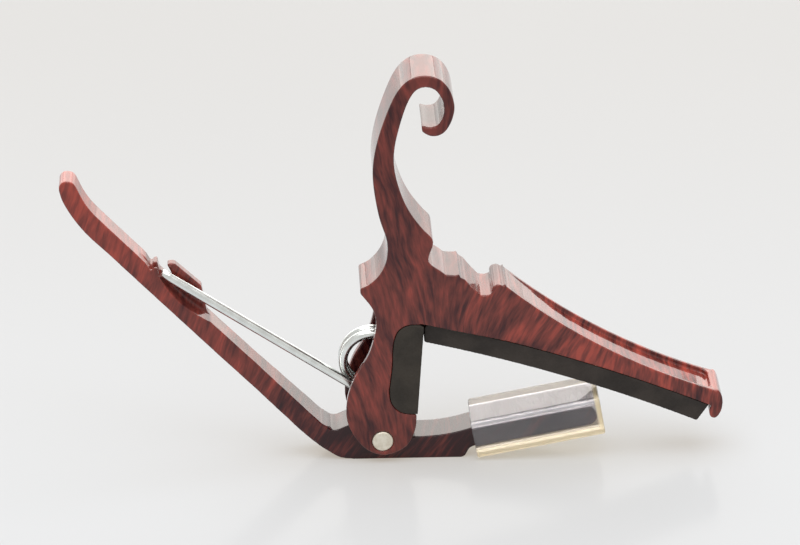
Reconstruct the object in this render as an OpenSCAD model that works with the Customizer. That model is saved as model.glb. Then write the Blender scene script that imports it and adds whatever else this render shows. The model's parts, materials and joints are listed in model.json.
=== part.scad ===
// Trigger capo for a guitar: a spring clamp with a jaw frame, a thumb lever and a torsion spring.
// Outlines are drawn in the X-Z plane around the pivot axis and extruded along Y.
// place() then moves every piece so that the origin is the middle of the space it stands on.

/* [Jaw frame] */
// Width of the casting at the cheeks and the palm handle
frame_w = 12.7; // [12:0.1:14]
// Width of the bar that holds the string pad
bar_w = 10.7; // [10:0.1:11.4]
// Thickness of each cheek beside the lever
cheek_t = 2.0; // [1.8:0.1:2.2]
// Thickness of the web behind the side pad
web_t = 1.3; // [1:0.1:1.4]
// Depth of the channel along the top of the bar
recess_d = 1.05; // [0.6:0.05:1.5]
// Wall left on each side of that channel
rim_t = 1.2; // [0.9:0.1:1.6]

/* [Clamp lever] */
// Width of the lever at the pivot and along its padded arm
hub_w = 8.2; // [7.8:0.1:8.4]
// Width of the thumb handle
thumb_w = 6.2; // [5.6:0.1:7]
// Thickness of the padded arm
arm_t = 4.2; // [3.6:0.1:4.6]
// Length of the padded arm inside its sleeve
arm_l = 26.4; // [22:0.2:27]
// Rise of the padded arm above level, in degrees
arm_rise = 11; // [9:0.5:11.5]

/* [Pivot] */
// Diameter of the rivet
pin_d = 4.5; // [4:0.1:4.8]
// Radial clearance of the lever on the rivet
pin_play = 0.05; // [0.02:0.01:0.1]

/* [Spring] */
// Diameter of the spring wire
wire_d = 1.95; // [1.8:0.05:1.95]
// Mean radius of the coil
coil_r = 6.4; // [6.2:0.1:6.4]
// Pitch of the coil along the pivot direction
coil_pitch = 2.3; // [2.3:0.05:2.5]
// Length of the long leg
leg_l = 48.4; // [46:0.2:48.4]

/* [Pads] */
// Thickness of the string pad
pad_t = 4.3; // [3.6:0.1:4.6]
// Radius of the arched face that meets the strings
pad_r = 338; // [330:1:350]
// Thickness of the side pad on the neck face
boot_t = 0.8; // [0.6:0.1:1]
// Thickness of the side pad's flaps
flap_t = 0.9; // [0.6:0.1:1.1]
// Wall of the clear sleeve
sleeve_t = 1.8; // [1.4:0.1:1.9]

/* [Hidden] */
// How far the pivot axis stands behind the middle of the footprint, and above the surface
PIVOT_X = -2.65;
PIVOT_Z = 5.1;
BIG = 200;
cheek_in = frame_w / 2 - cheek_t;

// Where the casting narrows from the cheeks' width to the bar's
NECK_DOWN = [14.8, 26];

// Neck side of the frame: the web's outer face leans a little away from the pivot
WEB_LOW = [6.55, 6.2];
WEB_HIGH = [7.8, 27];

// Bar: its top is an arc seen from above it, its underside an arc centred far below
TOP_C = [112.4, 137.7];
TOP_R = 134.6;
PAD_C = [-70, -306.3];
function bar_top(x) = TOP_C[1] - sqrt(TOP_R * TOP_R - pow(x - TOP_C[0], 2));
function arch(x, r) = PAD_C[1] + sqrt(r * r - pow(x - PAD_C[0], 2));
BAR_START = 25.7;
BAR_END = 69.6;
PAD_START = 8.7;
PAD_CORNER = 1.2;

// Padded arm: a straight bar that rises from the lever's heel
ARM_0 = [19.2, -0.35];
ARM_DIR = [cos(arm_rise), sin(arm_rise)];
ARM_UP = [-sin(arm_rise), cos(arm_rise)];
SLEEVE_H = 8.6;
SLEEVE_W = 12.0;
SLEEVE_L = 27.4;
SLEEVE_PLAY = 0.05;

// Spring: centre of the coil, the slope of its long leg and where that leg leaves the coil
COIL_C = [-1.7, 16.1];
LEG_RISE = 33.5;
COIL_Y = 3.15;
COIL_TURNS = 2 + (90 + LEG_RISE) / 360;
SPLIT_TURN = 2;
SPLIT_GAP = 0.005;
TIP_Y = -1.2;
FIXED_TOP = 27.4;
WIRE_SIDES = 12;
TURN_STEP = 12;

// Spring seat on the thumb handle
SEAT = [-41.4, 32.6];
SEAT_SLOPE = -47;
SEAT_R = 24;
SEAT_DEPTH = 1.15;
SEAT_ENDS = [-46.1, -30];
FIN_IN = 0.7;
RUN_OUT_PLAY = 0.1;

// Where the lever narrows from its hub's width to the thumb handle's
HANDLE_FROM = [-27, -12];

// Glue line between the bar and the string pad, and the tongue that keeps the pad in line
GLUE = 0.03;
TONGUE_W = 3;
TONGUE_H = 1;
TONGUE_ENDS = [14, 56];
TONGUE_PLAY = 0.1;

// A smooth open curve through the points p, with n steps between neighbours
function spline(p, n = 5) = let(
    last = len(p) - 1,
    q = concat([2 * p[0] - p[1]], p, [2 * p[last] - p[last - 1]])
) concat([for (i = [1 : last]) for (k = [0 : n - 1]) let(
    t = k / n,
    a = q[i - 1],
    b = q[i],
    c = q[i + 1],
    d = q[i + 2]
) 0.5 * (2 * b + (c - a) * t + (2 * a - 5 * b + 4 * c - d) * t * t + (3 * b - a - 3 * c + d) * t * t * t)],
    [p[last]]);

// Points on a circle of radius r about c, from angle a to angle b
function arc(c, r, a, b, n = 8) = [for (i = [0 : n]) let(t = a + (b - a) * i / n) c + r * [cos(t), sin(t)]];

// Numbers from a to b in n even steps
function steps(a, b, n) = [for (i = [0 : n]) a + (b - a) * i / n];

module place() {
    translate([PIVOT_X, 0, PIVOT_Z]) children();
}

// An X-Z outline extruded to width w about the middle plane
module slab(points, w) {
    rotate([90, 0, 0]) linear_extrude(height = w, center = true) polygon(points);
}

// The same outline between two values of Y
module slab_between(points, y0, y1) {
    translate([0, (y0 + y1) / 2, 0]) slab(points, y1 - y0);
}

// A plan outline extruded upwards through everything
module plan(points) {
    translate([0, 0, -BIG / 2]) linear_extrude(height = BIG) polygon(points);
}

// A rod along Y
module cross_rod(d, l) {
    rotate([90, 0, 0]) cylinder(h = l, d = d, center = true, $fn = 64);
}

// ---- jaw frame ----

// Cheeks and the throat above the spring, from the neck side round the pivot and up to the heel of the hand
cheek_edge = spline([[7.15, 6], [6.8, 2.5], [4.9, -1.3], [0.4, -3.2], [-3.9, -1.4], [-7.1, 3.7], [-7.5, 9],
    [-5.9, 14.6], [-2.9, 20], [-1.4, 26], [-1.9, 30.2], [-4.6, 34.2]]);

// Back of the palm handle, from the heel up and over the hook to its tip
handle_back = spline([[-4.6, 35.2], [-2.4, 36.4], [-0.3, 38.8], [0.9, 42], [0.9, 46], [-0.7, 51.4],
    [-1.8, 58], [-1.9, 63], [-0.9, 68.6], [1.2, 75], [3.2, 79.2], [5.6, 81.6], [8.4, 82.4], [11.4, 81.7],
    [13.6, 79.4], [14.7, 75.8], [14.3, 72.9], [13.2, 70.6], [12, 69.5], [10.6, 69.1], [9.3, 69.4], [8.1, 70.2]]);

// Inside of the hook and front of the palm handle, down to the first thumb step
handle_front = spline([[8, 71.5], [9.6, 71.1], [11.2, 71.5], [12.2, 72.9], [12.6, 74.8], [12.2, 77.1],
    [10.8, 79.2], [8.9, 79.9], [7.1, 79.4], [5.8, 77.8], [4.6, 75], [3.4, 70.8], [2.6, 67], [2.4, 63.5],
    [2.9, 59.8], [4.3, 55.2], [6.1, 51.6], [8.5, 48.3], [10.2, 46.4], [10.4, 44.8], [9.7, 42.8], [9.5, 41.3],
    [10.4, 40.1], [12.1, 38.9], [13, 38.1]]);

// Second thumb step, the scoop before the bead, and the bead itself
thumb_steps = concat(
    [[15.3, 37.9], [15.8, 38.2]],
    spline([[16.2, 37.3], [17.2, 36.7], [18.3, 35.3], [19.5, 34], [20.3, 33.1]]),
    [[21.8, 33]],
    arc([24, 34], 1.35, 205, 30, 12),
    [[25.4, 35.5]]
);

bar_top_edge = [for (x = steps(BAR_START, BAR_END, 14)) [x, bar_top(x)]];

// Claw that keeps the string pad from sliding off the end of the bar
claw = spline([[70.5, 10.1], [71.2, 8.8], [71.45, 7.1], [71.1, 5.1], [70.1, 3.7], [69, 3.9], [68.65, 5.1],
    [69, 6.4]], 4);

bar_underside = [for (x = steps(68.8, WEB_HIGH[0], 14)) [x, arch(x, pad_r + pad_t)]];

frame_outline = concat(cheek_edge, handle_back, handle_front, thumb_steps, bar_top_edge, claw,
    bar_underside, [WEB_HIGH, WEB_LOW]);

// Space between the cheeks: open to the left for the spring, and below for the lever
throat = concat(
    [[-20, -12], [16, -12], [16, 0.3], [WEB_LOW[0] - web_t - 0.2, 0.3], [WEB_LOW[0] - web_t, WEB_LOW[1]]],
    [[6.3, 24.6]],
    arc([4.2, 26.4], 2.2, -10, 90, 6),
    [[-20, 28.6]]
);

// Outline of the side pad's flap on a cheek, grown by g all round
function flap_edge(g) = spline([[7.2, 6.3 - g], [4.6, 6.5 - g], [2.9 - g, 7.5 - g], [1.8 - g, 9.2],
    [1.5 - g, 11.6], [1.8 - g, 14.5], [2.1 - g, 17.5], [2.2 - g, 21], [2.6 - g, 23.8], [3.6 - g, 25.7 + g],
    [5.4, 26.7 + g], [7.7, 26.8 + g]]);

// Outline of the string pad's tongue, grown by g all round
function tongue(g) = let(
    low = pad_r + pad_t - 0.5,
    high = pad_r + pad_t + TONGUE_H + g,
    from = TONGUE_ENDS[0] - g,
    to = TONGUE_ENDS[1] + g
) concat([for (x = steps(from, to, 8)) [x, arch(x, low)]], [for (x = steps(to, from, 8)) [x, arch(x, high)]]);

// Floor of the channel on top of the bar, sinking to its full depth over its first part
module bar_channel() {
    depth_run = 12;
    half = bar_w / 2 - rim_t;
    start = BAR_START + 0.6;
    end = BAR_END - 0.7;
    past = BAR_END + 10;
    above = 60;
    corner = 1.6;
    floor_pts = [for (x = steps(start, past, 16)) [x, bar_top(x) - recess_d * min(1, (x - start) / depth_run)]];
    intersection() {
        slab(concat(floor_pts, [[past, above], [start, above]]), 2 * half);
        plan(concat(
            [[BAR_START, -half], [end - corner, -half]],
            arc([end - corner, -half + corner], corner, -90, 0),
            arc([end - corner, half - corner], corner, 0, 90),
            [[BAR_START, half]]
        ));
    }
}

// A shape seen from above that is w0 wide up to x0, tapers, and is w1 wide beyond x1
module taper_plan(x0, x1, w0, w1) {
    plan([[x0 - BIG, -w0 / 2], [x0, -w0 / 2], [x1, -w1 / 2], [x1 + BIG, -w1 / 2],
        [x1 + BIG, w1 / 2], [x1, w1 / 2], [x0, w0 / 2], [x0 - BIG, w0 / 2]]);
}

// Shallow pocket for the side pad's flap, in the outer face of the cheek behind (side 1) or in front (side -1)
module flap_pocket(side) {
    play = 0.08;
    past_web = WEB_HIGH[0] + 0.5;
    face = side * frame_w / 2;
    floor_y = side * (frame_w / 2 - flap_t);
    outside = face + side;
    slab_between(concat(flap_edge(play), [[past_web, 26.8 + play], [past_web, 6.3 - play]]),
        min(floor_y, outside), max(floor_y, outside));
}

module jaw_frame() {
    ring = 0.6;
    ring_depth = 0.25;
    color("saddlebrown") place() difference() {
        intersection() {
            slab(frame_outline, frame_w);
            taper_plan(NECK_DOWN[0], NECK_DOWN[1], frame_w, bar_w);
        }
        slab(throat, 2 * cheek_in);
        bar_channel();
        slab(tongue(TONGUE_PLAY), TONGUE_W + 2 * TONGUE_PLAY);
        for (side = [-1, 1]) {
            flap_pocket(side);
            translate([0, side * frame_w / 2, 0]) cross_rod(pin_d + ring, 2 * ring_depth);
        }
        cross_rod(pin_d, frame_w + 2);
    }
}

// ---- clamp lever ----

thumb_under = spline([[-66.1, 57], [-65.3, 54.3], [-63.2, 50.5], [-60.4, 46.8], [-56.4, 42.7], [-51.6, 37.6],
    [-34, 19.1]]);
heel_bend = spline([[-17.2, 1.7], [-14, -1.2], [-11, -3.4], [-8.8, -4.7], [-6.2, -5.1]]);
arm_bottom = ARM_0 - arm_t / 2 * ARM_UP;
arm_top = ARM_0 + arm_t / 2 * ARM_UP;
arm_end = ARM_0 + (arm_l - arm_t / 2) * ARM_DIR;
hub_top = spline([[6.8, -0.1], [5.6, -0.15], [4.7, 0.15], [4.4, 1.4], [3.3, 3.2], [1, 4.5], [-2, 4.6], [-5, 3.7],
    [-7.6, 2.6], [-10.2, 1.7], [-12.7, 3.2]]);
thumb_top = spline([[-49.6, 41.4], [-53, 45], [-56.3, 48.5], [-59.2, 51.7], [-60.8, 54], [-61.9, 56.2],
    [-62.7, 58], [-63.5, 58.8], [-64.7, 59], [-65.6, 58.6], [-66.1, 57.8]], 4);

lever_outline = concat(
    thumb_under,
    heel_bend,
    [[16.8, -5.1]],
    spline([[17.4, -4.8], [17.9, -3.9], [18.4, -3], arm_bottom], 3),
    arc(arm_end, arm_t / 2, arm_rise - 90, arm_rise + 90),
    spline([arm_top, [15.2, 0.7], [11.6, 0.1], [8.4, -0.1]], 4),
    hub_top,
    [[-46, 37.5], [-46.4, 39.4], [-46.9, 39.4], [-47.7, 38.6], [-48.7, 40.4]],
    thumb_top
);

// Wall behind the end of the spring leg
fin = [[-43.4, 33], [-43.6, 36.6], [-44.4, 38.3], [-43.9, 38.6], [-42.8, 38.5], [-37.4, 33.4], [-36.6, 29],
    [-35.8, 25], [-40, 27]];

// Slope that the wire's tip climbs when the capo is squeezed open
run_out = [[-44.6, 34.8], [-46.6, 36.9], [-51.2, 43.6], [-47, 47], [-38, 38]];

module seat_cut() {
    // the round floor of the seat, sunk into the handle's upper face
    centre = SEAT + (SEAT_R - SEAT_DEPTH) * [-sin(SEAT_SLOPE), cos(SEAT_SLOPE)];
    front = -hub_w;
    low = 20;
    high = 45;
    intersection() {
        translate([centre[0], (front + FIN_IN) / 2, centre[1]]) rotate([90, 0, 0])
            cylinder(h = FIN_IN - front, r = SEAT_R, center = true, $fn = 128);
        slab([[SEAT_ENDS[0], high], [SEAT_ENDS[0], low], [SEAT_ENDS[1], low], [SEAT_ENDS[1], high]], BIG);
    }
}

module clamp_lever() {
    slot_half = wire_d / 2 + RUN_OUT_PLAY;
    color("saddlebrown") place() difference() {
        intersection() {
            union() {
                difference() {
                    slab(lever_outline, hub_w);
                    seat_cut();
                }
                slab_between(fin, FIN_IN, hub_w / 2);
            }
            taper_plan(HANDLE_FROM[0], HANDLE_FROM[1], thumb_w, hub_w);
        }
        slab_between(run_out, TIP_Y - slot_half, TIP_Y + slot_half);
        cross_rod(pin_d + 2 * pin_play, hub_w + 2);
    }
}

module pivot_pin() {
    ends = frame_w / 2;
    edge = 0.25;
    color("silver") place() rotate([90, 0, 0]) rotate_extrude($fn = 64)
        polygon([[0, -ends], [pin_d / 2 - edge, -ends], [pin_d / 2, -ends + edge], [pin_d / 2, ends - edge],
            [pin_d / 2 - edge, ends], [0, ends]]);
}

// ---- spring ----

// A point on the coil after t turns from its back end, winding towards the front
function coil_at(t) = [COIL_C[0] + coil_r * cos(-360 * t), COIL_Y - coil_pitch * t,
    COIL_C[1] + coil_r * sin(-360 * t)];

function unit(v) = v / norm(v);

// Direction of a path at point i
function heading(p, i) = unit(p[min(i + 1, len(p) - 1)] - p[max(i - 1, 0)]);

// A round wire along a path that never runs along Y
module wire(path, d) {
    n = len(path);
    m = WIRE_SIDES;
    rings = [for (i = [0 : n - 1]) let(
        t = heading(path, i),
        a = unit(cross(t, [0, 1, 0])),
        b = cross(t, a)
    ) for (k = [0 : m - 1]) path[i] + d / 2 * (a * cos(360 * k / m) + b * sin(360 * k / m))];
    sides = [for (i = [0 : n - 2]) for (k = [0 : m - 1])
        [i * m + k, i * m + (k + 1) % m, (i + 1) * m + (k + 1) % m, (i + 1) * m + k]];
    polyhedron(points = rings, faces = concat([[for (k = [m - 1 : -1 : 0]) k]], sides,
        [[for (k = [0 : m - 1]) (n - 1) * m + k]]), convexity = 8);
}

leg_start = coil_at(COIL_TURNS);
leg_dir = [-cos(LEG_RISE), sin(LEG_RISE)];
leg_tip = [leg_start[0] + leg_l * leg_dir[0], TIP_Y, leg_start[2] + leg_l * leg_dir[1]];

module spring_coil() {
    turn_steps = round(SPLIT_TURN * 360 / TURN_STEP);
    fixed_leg = [[coil_at(0)[0], COIL_Y, FIXED_TOP]];
    color("lightsteelblue") place()
        wire(concat(fixed_leg, [for (t = steps(0, SPLIT_TURN, turn_steps)) coil_at(t)]), wire_d);
}

module spring_leg() {
    first = SPLIT_TURN + SPLIT_GAP;
    turn_steps = round((COIL_TURNS - first) * 360 / TURN_STEP);
    color("lightsteelblue") place()
        wire(concat([for (t = steps(first, COIL_TURNS, turn_steps)) coil_at(t)], [leg_tip]), wire_d);
}

// ---- pads ----

module string_pad() {
    top = pad_r + pad_t - GLUE;
    end_under = 66.1;
    end_top = 68.5;
    inset = 0.15;
    corner_x = PAD_START + PAD_CORNER;
    under = [for (x = steps(PAD_START, end_under, 14)) [x, arch(x, pad_r)]];
    upper = [for (x = steps(end_top, corner_x, 14)) [x, arch(x, top)]];
    corner = arc([corner_x, arch(corner_x, top) - PAD_CORNER], PAD_CORNER, 90, 180, 4);
    color("dimgray") place() union() {
        slab(concat(under, upper, corner), bar_w - 2 * inset);
        slab(tongue(0), TONGUE_W);
    }
}

module side_pad() {
    behind = -5;
    above = WEB_HIGH[1] + 5;
    core = [[behind, 0], [WEB_LOW[0], 0], WEB_LOW, WEB_HIGH, [WEB_HIGH[0], above], [behind, above]];
    color("darkslategray") place() difference() {
        slab(concat(flap_edge(0), [WEB_HIGH + [boot_t, -0.7], WEB_LOW + [boot_t, 0.1]]), frame_w);
        slab(core, frame_w - 2 * flap_t);
    }
}

// A rounded rectangle w by h, with its long side across
function round_box(w, h, r) = concat(
    arc([w / 2 - r, h / 2 - r], r, 0, 90, 6),
    arc([r - w / 2, h / 2 - r], r, 90, 180, 6),
    arc([r - w / 2, r - h / 2], r, 180, 270, 6),
    arc([w / 2 - r, r - h / 2], r, 270, 360, 6)
);

module arm_sleeve() {
    bore_w = hub_w + 2 * SLEEVE_PLAY;
    bore_h = SLEEVE_H - 2 * sleeve_t;
    outer_corner = 0.7;
    bore_corner = 0.6;
    color("lavender", 0.5) place() translate([ARM_0[0], 0, ARM_0[1]]) rotate([0, -arm_rise, 0])
        rotate([90, 0, 90]) difference() {
            linear_extrude(height = SLEEVE_L) polygon(round_box(SLEEVE_W, SLEEVE_H, outer_corner));
            translate([0, 0, -1]) linear_extrude(height = SLEEVE_L + 2)
                polygon(round_box(bore_w, bore_h, bore_corner));
        }
}

jaw_frame();
clamp_lever();
pivot_pin();
spring_coil();
spring_leg();
string_pad();
side_pad();
arm_sleeve();
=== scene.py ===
"""Looks for a trigger capo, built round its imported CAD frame. Blender 4.5."""

import json
import math

import bmesh
import bpy
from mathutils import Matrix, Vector


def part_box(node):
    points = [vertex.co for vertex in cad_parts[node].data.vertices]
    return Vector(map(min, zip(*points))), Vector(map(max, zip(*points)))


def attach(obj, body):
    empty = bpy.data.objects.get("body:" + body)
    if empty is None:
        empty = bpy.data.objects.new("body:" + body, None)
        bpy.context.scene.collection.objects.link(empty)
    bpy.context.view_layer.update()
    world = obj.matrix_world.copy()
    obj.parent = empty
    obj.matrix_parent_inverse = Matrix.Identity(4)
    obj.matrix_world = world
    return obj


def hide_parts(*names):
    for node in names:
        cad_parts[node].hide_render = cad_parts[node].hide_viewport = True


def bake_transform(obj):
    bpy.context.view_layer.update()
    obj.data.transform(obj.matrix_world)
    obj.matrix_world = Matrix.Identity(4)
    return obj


MM = 0.001
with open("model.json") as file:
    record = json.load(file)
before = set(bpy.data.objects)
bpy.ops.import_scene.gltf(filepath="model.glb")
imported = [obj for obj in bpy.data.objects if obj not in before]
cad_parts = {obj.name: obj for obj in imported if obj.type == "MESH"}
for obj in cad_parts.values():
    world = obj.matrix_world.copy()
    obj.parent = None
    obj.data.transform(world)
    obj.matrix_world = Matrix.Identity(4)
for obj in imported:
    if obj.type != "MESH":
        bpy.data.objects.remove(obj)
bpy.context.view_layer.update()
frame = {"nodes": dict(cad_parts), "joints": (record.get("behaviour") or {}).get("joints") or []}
joints = {j["name"]: j for j in frame["joints"]}
PIVOT = Vector(joints["jaw_pivot"]["pos_m"])
COIL = Vector(joints["spring_twist"]["pos_m"])

# The padded arm: where its middle line starts, and its rise in degrees
ARM_START = PIVOT + Vector((19.2, 0, -0.35)) * MM
ARM_RISE = 11


# ---- node helpers ----


class Nodes:
    """Short names for building a material's node tree."""

    def __init__(self, name):
        self.material = bpy.data.materials.new(name)
        self.material.use_nodes = True
        self.tree = self.material.node_tree
        self.tree.nodes.clear()
        self.out = self.add("ShaderNodeOutputMaterial")
        self.shader = self.add("ShaderNodeBsdfPrincipled")
        self.link(self.shader.outputs[0], self.out.inputs["Surface"])

    def add(self, kind, **settings):
        node = self.tree.nodes.new(kind)
        for key, value in settings.items():
            setattr(node, key, value)
        return node

    def link(self, source, target):
        self.tree.links.new(source, target)

    def put(self, value, socket):
        if isinstance(value, bpy.types.NodeSocket):
            self.link(value, socket)
        else:
            socket.default_value = value

    def set(self, **values):
        for key, value in values.items():
            self.put(value, self.shader.inputs[key.replace("_", " ")])

    def coords(self):
        return self.add("ShaderNodeTexCoord").outputs["Object"]

    def math(self, operation, a, b=0.0):
        node = self.add("ShaderNodeMath", operation=operation)
        for value, socket in zip((a, b), node.inputs):
            self.put(value, socket)
        return node.outputs[0]

    def plus(self, a, b):
        return self.math("ADD", a, b)

    def minus(self, a, b):
        return self.math("SUBTRACT", a, b)

    def times(self, a, b):
        return self.math("MULTIPLY", a, b)

    def xyz(self, vector):
        node = self.add("ShaderNodeSeparateXYZ")
        self.link(vector, node.inputs[0])
        return node.outputs

    def vector(self, x, y, z):
        node = self.add("ShaderNodeCombineXYZ")
        for value, socket in zip((x, y, z), node.inputs):
            self.put(value, socket)
        return node.outputs[0]

    def noise(self, vector, scale, detail=2.0, rough=0.5, distortion=0.0):
        node = self.add("ShaderNodeTexNoise")
        self.link(vector, node.inputs["Vector"])
        node.inputs["Scale"].default_value = scale
        node.inputs["Detail"].default_value = detail
        node.inputs["Roughness"].default_value = rough
        node.inputs["Distortion"].default_value = distortion
        return node.outputs["Fac"]

    def ramp(self, value, *stops):
        node = self.add("ShaderNodeValToRGB")
        elements = node.color_ramp.elements
        while len(elements) < len(stops):
            elements.new(0.5)
        for element, (place, colour) in zip(elements, stops):
            element.position = place
            element.color = (*colour, 1.0)
        self.link(value, node.inputs[0])
        return node.outputs[0]

    def band(self, value, low, high, to_low=0.0, to_high=1.0):
        """A smooth step from to_low, where value is low, to to_high, where it is high."""
        node = self.add("ShaderNodeMapRange", interpolation_type="SMOOTHSTEP")
        self.put(value, node.inputs["Value"])
        settings = {"From Min": low, "From Max": high, "To Min": to_low, "To Max": to_high}
        for name, number in settings.items():
            node.inputs[name].default_value = number
        return node.outputs[0]

    def mix(self, factor, a, b, blend="MIX"):
        node = self.add("ShaderNodeMix", data_type="RGBA", blend_type=blend)
        self.put(factor, node.inputs["Factor"])
        for value, socket in ((a, node.inputs["A"]), (b, node.inputs["B"])):
            self.put(value if isinstance(value, bpy.types.NodeSocket) else (*value, 1.0), socket)
        return node.outputs["Result"]

    def bump(self, height, strength, distance):
        node = self.add("ShaderNodeBump")
        node.inputs["Strength"].default_value = strength
        node.inputs["Distance"].default_value = distance
        self.link(height, node.inputs["Height"])
        self.link(node.outputs[0], self.shader.inputs["Normal"])


def linear(r, g, b):
    """An sRGB colour given as 0 to 255, as the shader's linear values."""
    shares = (c / 255 for c in (r, g, b))
    return tuple(c / 12.92 if c <= 0.04045 else ((c + 0.055) / 1.055) ** 2.4 for c in shares)


# ---- materials ----


# Slopes of the print's streaks from upright: on the cheeks, where the bar starts, and the turn back along the bar
CHEEK_LEAN = -0.22
BAR_LEAN = 0.40
TIP_TURN = -0.34
BAR_X = 20 * MM
BAR_FALL = 0.48
BAR_Z = PIVOT.z + 33 * MM
WANDER = 3 * MM

# Half width of the gap between the cheeks, and the height where it closes; the frame's print gets painted shade
# inside it
THROAT_Y = 4 * MM
THROAT_Z = 34 * MM


def rosewood_print(name, lean, height, red_and_shade):
    """Glossy printed rosewood. lean, height and the last argument are functions of the nodes and place: the streaks'
    slope from upright, the height about which they fan out, and how far the print turns from brown-black to red,
    which also holds painted shade where parts are recessed."""
    n = Nodes(name)
    x, y, z = n.xyz(n.coords())
    wander = n.noise(n.vector(x, y, z), scale=70.0, detail=1.0)
    across = n.minus(x, n.times(lean(n, x), n.minus(z, height(n, x))))
    across = n.plus(across, n.times(n.minus(wander, 0.5), WANDER))

    def streaks(width, length, depth, **noise):
        """Noise drawn out along the lean, about its middle value."""
        sizes = ((across, width), (y, depth), (z, length))
        grain = n.vector(*(n.math("DIVIDE", place, size) for place, size in sizes))
        return n.minus(n.noise(grain, scale=1.0, **noise), 0.5)

    patches = streaks(3.4 * MM, 7 * MM, 14 * MM, detail=1.0, rough=0.4, distortion=0.1)
    figure = streaks(0.95 * MM, 5.5 * MM, 9 * MM, detail=2.0, rough=0.55, distortion=0.2)
    fine = streaks(0.30 * MM, 2.2 * MM, 4 * MM, detail=2.0, rough=0.5)
    tone = n.plus(n.times(patches, 0.8), n.times(figure, 1.45))
    tone = n.plus(tone, n.times(fine, 0.45))
    contrast = n.band(x, 10 * MM, 42 * MM, 0.78, 1.15)
    tone = n.plus(n.times(tone, contrast), 0.5)
    colour = n.ramp(
        n.plus(tone, red_and_shade(n, x, y, z)),
        (0.04, (0.024, 0.005, 0.007)),
        (0.24, (0.058, 0.010, 0.011)),
        (0.46, (0.120, 0.025, 0.020)),
        (0.70, (0.205, 0.039, 0.030)),
        (1.00, (0.350, 0.060, 0.042)),
    )
    n.set(
        Base_Color=colour,
        Roughness=0.35,
        Specular_IOR_Level=0.03,
        Coat_Weight=1.0,
        Coat_Roughness=0.04,
        Coat_IOR=1.42,
    )
    ripple = n.noise(n.coords(), scale=260.0)
    n.bump(n.plus(n.times(fine, 0.3), ripple), strength=0.10, distance=0.05 * MM)
    return n.material


def frame_lean(n, x):
    """A little to the left on the cheeks, to the right where the bar starts, almost upright at its tip."""
    turned = n.band(x, 4 * MM, 20 * MM, CHEEK_LEAN, BAR_LEAN)
    return n.plus(turned, n.band(x, 34 * MM, 60 * MM, 0.0, TIP_TURN))


def frame_height(n, x):
    """The middle of the bar, and level with its root over the rest of the frame."""
    along = n.math("MAXIMUM", n.minus(x, BAR_X), 0.0)
    return n.minus(BAR_Z, n.times(along, BAR_FALL))


def frame_red_and_shade(n, x, y, z):
    """Redder towards the bar's tip, and painted shade between the cheeks, which turns the print almost black there.
    """
    # Painted shade: the print is darkened low between the cheeks, fading out from 8 to 14 mm along x.
    between = n.band(n.math("ABSOLUTE", y), THROAT_Y, THROAT_Y + 0.6 * MM, 1.0, 0.0)
    painted_throat_shade = n.times(between, n.band(z, THROAT_Z, THROAT_Z + 4 * MM, 1.0, 0.0))
    near = n.band(x, 8 * MM, 14 * MM, -0.42, 0.0)
    return n.plus(n.band(x, 10 * MM, 42 * MM, -0.04, 0.16), n.times(painted_throat_shade, near))


def lever_lean(n, x):
    """To the right everywhere, and most over the heel and the arm."""
    return n.band(x, -30 * MM, -5 * MM, 0.30, 0.70)


def lever_height(n, x):
    """The pivot's height."""
    return PIVOT.z


def lever_red_and_shade(n, x, y, z):
    """Redder towards the thumb, and painted shade at the heel and along the arm, which turns the print almost black
    there.
    """
    thumb = n.band(x, -64 * MM, -40 * MM, 0.30, 0.0)
    # Painted shade: darkening from -30 mm to -10 mm along x, over the recessed heel and arm.
    return n.plus(thumb, n.band(x, -30 * MM, -10 * MM, 0.04, -0.40))


def moulded_rubber(name, base):
    """Dull rubber with a fine moulded grain and a cloudy, slightly dusty colour."""
    n = Nodes(name)
    place = n.coords()
    cloud = n.noise(place, scale=160.0, detail=3.0)
    grain = n.noise(place, scale=2600.0)
    darker = tuple(c * 0.72 for c in base)
    lighter = tuple(c * 1.25 for c in base)
    n.set(
        Base_Color=n.mix(n.band(cloud, 0.35, 0.65), darker, lighter),
        Roughness=n.band(grain, 0.3, 0.7, 0.55, 0.72),
        Specular_IOR_Level=0.35,
    )
    n.bump(grain, strength=0.35, distance=0.05 * MM)
    return n.material


def zinc_wire(name):
    """Bright drawn wire: faint lines round it and a slightly cloudy plating."""
    n = Nodes(name)
    place = n.coords()
    cloud = n.noise(place, scale=420.0, detail=3.0)
    cloudy = n.band(cloud, 0.3, 0.7)
    x, y, z = n.xyz(place)
    drawn = n.noise(n.vector(n.times(x, 0.12), y, n.times(z, 0.3)), scale=5200.0)
    n.set(
        Base_Color=n.mix(cloudy, linear(222, 226, 224), linear(239, 243, 241)),
        Metallic=1.0,
        Roughness=n.band(cloud, 0.3, 0.7, 0.2, 0.28),
    )
    n.bump(drawn, strength=0.08, distance=0.03 * MM)
    return n.material


RIVET_RINGS = 0.16 * MM


def satin_rivet(name):
    """Turned satin aluminium: fine rings about the pivot and a few handling marks."""
    n = Nodes(name)
    x, y, z = n.xyz(n.coords())
    dx = n.minus(x, PIVOT.x)
    dz = n.minus(z, PIVOT.z)
    radius = n.math("SQRT", n.plus(n.times(dx, dx), n.times(dz, dz)))
    rings = n.math("SINE", n.times(radius, 2 * math.pi / RIVET_RINGS))
    marks = n.noise(n.coords(), scale=900.0, detail=3.0)
    n.set(
        Base_Color=n.mix(n.band(marks, 0.35, 0.7), linear(226, 219, 203), linear(242, 237, 224)),
        Metallic=1.0,
        Roughness=n.band(marks, 0.3, 0.7, 0.42, 0.54),
    )
    n.bump(rings, strength=0.12, distance=0.01 * MM)
    return n.material


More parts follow.
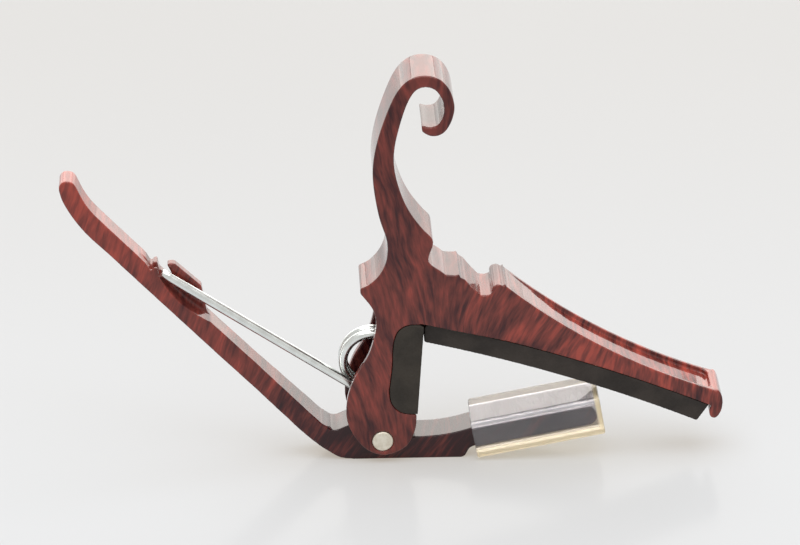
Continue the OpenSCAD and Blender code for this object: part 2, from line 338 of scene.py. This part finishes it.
def clear_vinyl(name):
    """Soft clear tube: a cool haze round the arm, and cream along its bottom and at its open end."""
    n = Nodes(name)
    place = n.coords()
    cloud = n.noise(place, scale=120.0)
    x, y, z = n.xyz(place)
    dx = n.minus(x, ARM_START.x)
    dz = n.minus(z, ARM_START.z)
    cos_rise = math.cos(math.radians(ARM_RISE))
    sin_rise = math.sin(math.radians(ARM_RISE))
    along = n.plus(n.times(dx, cos_rise), n.times(dz, sin_rise))
    above = n.minus(n.times(dz, cos_rise), n.times(dx, sin_rise))
    bottom_wall = n.band(above, -2.4 * MM, -2.0 * MM, 1.0, 0.0)
    open_end = n.band(along, 26.0 * MM, 26.7 * MM)
    cream = n.math("MAXIMUM", bottom_wall, open_end)
    haze = n.mix(n.band(cloud, 0.3, 0.7), (0.62, 0.60, 0.63), (0.74, 0.72, 0.75))
    n.set(
        Base_Color=n.mix(cream, haze, (0.98, 0.86, 0.62)),
        Roughness=n.band(cloud, 0.3, 0.7, 0.06, 0.11),
        Transmission_Weight=n.band(cream, 0.0, 1.0, 0.90, 0.45),
        Specular_IOR_Level=0.35,
        IOR=1.42,
    )
    n.bump(n.noise(place, scale=340.0), strength=0.03, distance=0.12 * MM)
    return n.material


def white_table(name):
    """A pale table that glows a little, as a light table does, so that shadows on it stay faint. Painted shade makes
    it darker towards the front, glow and all, from 70 mm before the capo, and darker towards the back, up to 280 mm
    behind it."""
    n = Nodes(name)
    place = n.coords()
    cloud = n.noise(place, scale=3.0)
    y = n.xyz(place)[1]
    # Painted shade: darker in front of the capo and behind it.
    front_shade = n.band(y, -220 * MM, -70 * MM, 0.75, 1.0)
    painted_falloff = n.times(front_shade, n.band(y, -50 * MM, 280 * MM, 1.0, 0.72))
    base = n.mix(n.band(cloud, 0.3, 0.7), (0.217, 0.254, 0.303), (0.227, 0.264, 0.313))
    n.set(
        Base_Color=n.mix(1.0, base, n.vector(painted_falloff, painted_falloff, painted_falloff), "MULTIPLY"),
        Roughness=0.16,
        IOR=1.1,
        Emission_Color=n.mix(front_shade, (0, 0, 0), (1.0, 0.89, 0.745)),
        Emission_Strength=0.42,
    )
    return n.material


# ---- mesh helpers ----

WELD = 0.002 * MM
NORMAL_WEIGHT = 60
CORNER_STEPS = 6
WIRE_SIDES = 20
WIRE_CHAMFER = 0.25 * MM


def finished(bm, name):
    """The mesh that bm holds; bm is freed."""
    mesh = bpy.data.meshes.new(name)
    bm.to_mesh(mesh)
    bm.free()
    return mesh


def flat_normals(obj):
    """Broad faces keep their own direction, and only the rounded edges between them are shaded round."""
    obj.modifiers.new("normals", "WEIGHTED_NORMAL").weight = NORMAL_WEIGHT


def new_piece(name, mesh, material, body, replaces, blend=None):
    """Link mesh as a visual piece that rides on body, or stays fixed where it was built when blend is given."""
    obj = bpy.data.objects.new(name, mesh)
    bpy.context.scene.collection.objects.link(obj)
    mesh.materials.clear()
    mesh.materials.append(material)
    for polygon in mesh.polygons:
        polygon.use_smooth = True
    if blend:
        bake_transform(obj)
    else:
        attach(obj, body)
    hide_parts(*replaces)
    return obj


def cad_solid(node):
    """The CAD node's surface as one closed mesh."""
    bm = bmesh.new()
    bm.from_mesh(frame["nodes"][node].data)
    bmesh.ops.remove_doubles(bm, verts=bm.verts, dist=WELD)
    return finished(bm, node)


def modified(obj, *modifiers):
    """obj's mesh after the given modifiers, each a type and its settings."""
    for kind, settings in modifiers:
        modifier = obj.modifiers.new(kind, kind)
        for key, value in settings.items():
            setattr(modifier, key, value)
    depsgraph = bpy.context.evaluated_depsgraph_get()
    mesh = bpy.data.meshes.new_from_object(obj.evaluated_get(depsgraph))
    bpy.data.objects.remove(obj)
    return mesh


def cast(node, name, grain, soften, keep, material, body):
    """The CAD node as a casting or a moulding: its corners are rounded off and its inner corners are filled.
    grain is the size of the cells it is rebuilt from, soften how many times they are evened out, and keep the
    share of the faces that is kept where it is flat."""
    solid = bpy.data.objects.new(name, cad_solid(node))
    bpy.context.scene.collection.objects.link(solid)
    mesh = modified(
        solid,
        ("REMESH", {"mode": "VOXEL", "voxel_size": grain}),
        ("SMOOTH", {"factor": 0.5, "iterations": soften}),
        ("DECIMATE", {"ratio": keep}),
    )
    flat_normals(new_piece(name, mesh, material, body, [node]))


def skin(bm, near, far):
    """A band of faces between two rings of as many points."""
    count = len(near)
    for k in range(count):
        bm.faces.new((near[k], near[(k + 1) % count], far[(k + 1) % count], far[k]))


def tube(path, radius):
    """A round wire along path, with a small chamfer at both ends."""
    bm = bmesh.new()
    count = len(path)
    rings = []
    normal = None
    for i, p in enumerate(path):
        heading = (path[min(i + 1, count - 1)] - path[max(i - 1, 0)]).normalized()
        if normal is None:
            normal = heading.cross(Vector((0, 1, 0))).normalized()
        normal = (normal - normal.dot(heading) * heading).normalized()
        side = heading.cross(normal)
        insets = [(0.0, radius)]
        if i == 0:
            insets = [(0.0, radius - WIRE_CHAMFER), (WIRE_CHAMFER, radius)]
        elif i == count - 1:
            insets = [(-WIRE_CHAMFER, radius), (0.0, radius - WIRE_CHAMFER)]
        for along, r in insets:
            centre = p + heading * along
            rings.append(
                [
                    bm.verts.new(centre + r * (math.cos(a) * normal + math.sin(a) * side))
                    for a in (2 * math.pi * k / WIRE_SIDES for k in range(WIRE_SIDES))
                ]
            )
    for a, b in zip(rings, rings[1:]):
        skin(bm, a, b)
    bm.faces.new(list(reversed(rings[0])))
    bm.faces.new(rings[-1])
    bmesh.ops.recalc_face_normals(bm, faces=bm.faces)
    return finished(bm, "wire")


def round_box(width, height, corner):
    """Points round a rectangle with rounded corners, from the foot of its right side."""
    points = []
    for k, (right, top) in enumerate(((1, -1), (1, 1), (-1, 1), (-1, -1))):
        centre_u = right * (width / 2 - corner)
        centre_v = top * (height / 2 - corner)
        for i in range(CORNER_STEPS + 1):
            a = math.radians(90 * (k - 1 + i / CORNER_STEPS))
            points.append((centre_u + corner * math.cos(a), centre_v + corner * math.sin(a)))
    return points


def closed_sweep(sections, start, rise):
    """A ring-shaped solid: rounded rectangles set along a line that rises by rise degrees, the last one joined
    to the first."""
    a = math.radians(rise)
    heading = Vector((math.cos(a), 0, math.sin(a)))
    up = Vector((-math.sin(a), 0, math.cos(a)))
    bm = bmesh.new()
    loops = [
        [bm.verts.new(start + heading * along + up * v + Vector((0, u, 0))) for u, v in round_box(*size)]
        for along, size in sections
    ]
    for near, far in zip(loops, loops[1:] + loops[:1]):
        skin(bm, near, far)
    bmesh.ops.recalc_face_normals(bm, faces=bm.faces)
    return finished(bm, "sleeve")


# ---- pieces ----

frame_paint = rosewood_print("frame_paint", frame_lean, frame_height, frame_red_and_shade)
lever_paint = rosewood_print("lever_paint", lever_lean, lever_height, lever_red_and_shade)
pad_rubber = moulded_rubber("pad_rubber", linear(47, 41, 37))
boot_rubber = moulded_rubber("boot_rubber", linear(48, 43, 37))
rivet_metal = satin_rivet("rivet")

# node, piece, grain, soften, keep, material and body
cast("jaw_frame", "frame_casting", 0.2 * MM, 8, 0.3, frame_paint, "frame_body")
cast("clamp_lever", "lever_casting", 0.2 * MM, 8, 0.3, lever_paint, "lever_body")
cast("string_pad", "string_pad_moulding", 0.2 * MM, 3, 0.2, pad_rubber, "frame_body")
cast("side_pad", "side_pad_moulding", 0.15 * MM, 3, 0.3, boot_rubber, "frame_body")
cast("pivot_pin", "rivet", 0.12 * MM, 3, 0.3, rivet_metal, "frame_body")

# Clear sleeve: a straight tube pushed over the padded arm
SLEEVE_L = 27.4 * MM
SLEEVE_OUTER = (12 * MM, 8.6 * MM, 0.7 * MM)
SLEEVE_RIM = (11.4 * MM, 8.0 * MM, 0.5 * MM)
SLEEVE_BORE = (8.3 * MM, 5.0 * MM, 0.6 * MM)
RIM_DEPTH = 0.3 * MM
sleeve_sections = [
    (0.0, SLEEVE_BORE),
    (0.0, SLEEVE_RIM),
    (RIM_DEPTH, SLEEVE_OUTER),
    (SLEEVE_L - RIM_DEPTH, SLEEVE_OUTER),
    (SLEEVE_L, SLEEVE_RIM),
    (SLEEVE_L, SLEEVE_BORE),
]
sleeve = new_piece(
    "vinyl_sleeve",
    closed_sweep(sleeve_sections, ARM_START, ARM_RISE),
    clear_vinyl("clear_sleeve"),
    "lever_body",
    ["arm_sleeve"],
)
flat_normals(sleeve)

# Torsion spring: one wire from the short leg in the frame, round the coil and out to the thumb handle
WIRE_R = 0.975 * MM
COIL_R = 6.4 * MM
PITCH = 2.3 * MM
COIL_BACK = 3.15 * MM
LEG_RISE = 33.5
LEG_L = 48.4 * MM
LEG_TIP_Y = -1.2 * MM
TURNS = 2 + (90 + LEG_RISE) / 360
FIXED_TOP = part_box("spring_coil")[1].z
FIXED_STEPS, COIL_STEPS, LEG_STEPS = 8, 150, 24
BEND_FROM_Y, BEND_TO_Y = 2.3 * MM, -0.4 * MM


def coil_at(turn):
    """The wire's centre after so many turns; turn 0 is at the back, where the short leg comes down."""
    a = -2 * math.pi * turn
    return Vector((COIL.x + COIL_R * math.cos(a), COIL_BACK - PITCH * turn, COIL.z + COIL_R * math.sin(a)))


start = coil_at(0)
fixed = [
    Vector((start.x, start.y, FIXED_TOP + (start.z - FIXED_TOP) * k / FIXED_STEPS))
    for k in range(FIXED_STEPS)
]
winding = [coil_at(TURNS * k / COIL_STEPS) for k in range(COIL_STEPS + 1)]
root = winding[-1]
rise = math.radians(LEG_RISE)
tip = Vector((root.x - LEG_L * math.cos(rise), LEG_TIP_Y, root.z + LEG_L * math.sin(rise)))
leg = [root + (tip - root) * k / LEG_STEPS for k in range(1, LEG_STEPS + 1)]
new_piece(
    "torsion_spring",
    tube(fixed + winding + leg, WIRE_R),
    zinc_wire("spring_wire"),
    None,
    ["spring_coil", "spring_leg"],
    ("frame_body", "leg_body", (COIL.x, BEND_FROM_Y, COIL.z), (COIL.x, BEND_TO_Y, COIL.z)),
)


# ---- stage ----

FLOOR_HALF = 6.0

# What the lights look at
MIDDLE = Vector((0, 0, 40 * MM))


def direction(azimuth, elevation):
    """The unit vector towards azimuth and elevation in degrees; azimuth 0 is in front of the capo, 180 behind it."""
    a, e = math.radians(azimuth), math.radians(elevation)
    return Vector((math.sin(a) * math.cos(e), -math.cos(a) * math.cos(e), math.sin(e)))


def looking(name, data, place, away):
    """An object at place that looks against the direction away."""
    obj = bpy.data.objects.new(name, data)
    obj.location = place
    obj.rotation_mode = "QUATERNION"
    obj.rotation_quaternion = away.to_track_quat("Z", "Y")
    bpy.context.scene.collection.objects.link(obj)
    return obj


def plane(name, half, material):
    """A square floor at height 0. half is half its side."""
    bm = bmesh.new()
    bmesh.ops.create_grid(bm, x_segments=2, y_segments=2, size=half)
    mesh = finished(bm, name)
    mesh.materials.append(material)
    obj = bpy.data.objects.new(name, mesh)
    bpy.context.scene.collection.objects.link(obj)


def softbox(name, azimuth, elevation, distance, width, height, power, colour):
    """An area light that looks at the middle of the capo from the given direction."""
    data = bpy.data.lights.new(name, "AREA")
    data.shape = "RECTANGLE"
    data.size = width
    data.size_y = height
    data.energy = power
    data.color = colour
    away = direction(azimuth, elevation)
    looking(name, data, MIDDLE + away * distance, away)


plane("floor", FLOOR_HALF, white_table("white_table"))

# name, azimuth, elevation, distance, width, height, power and colour
softbox("back_wall", 180, 7, 2.4, 4.4, 0.72, 15, (1.0, 0.975, 0.93))
softbox("back_box", 180, 27, 2.6, 3.0, 1.0, 27, (1.0, 0.95, 0.89))
softbox("overhead", 0, 84, 1.4, 1.8, 1.8, 26, (1.0, 0.985, 0.97))

world = bpy.data.worlds.new("studio")
bpy.context.scene.world = world
world.use_nodes = True
background = world.node_tree.nodes["Background"]
background.inputs["Color"].default_value = (1.0, 0.985, 0.96, 1)
background.inputs["Strength"].default_value = 0.70

# ---- camera ----

VIEW_AZ, VIEW_EL, VIEW_D = -2.3, 24.5, 0.916
TARGET = PIVOT + Vector((3.62, -6.14, 38.86)) * MM
camera_data = bpy.data.cameras.new("camera")
camera_data.lens = 200
camera_data.sensor_width = 36
camera_data.clip_start = 0.05
view = direction(VIEW_AZ, VIEW_EL)
bpy.context.scene.camera = looking("camera", camera_data, TARGET + view * VIEW_D, view)
bpy.context.scene.view_settings.view_transform = "Standard"
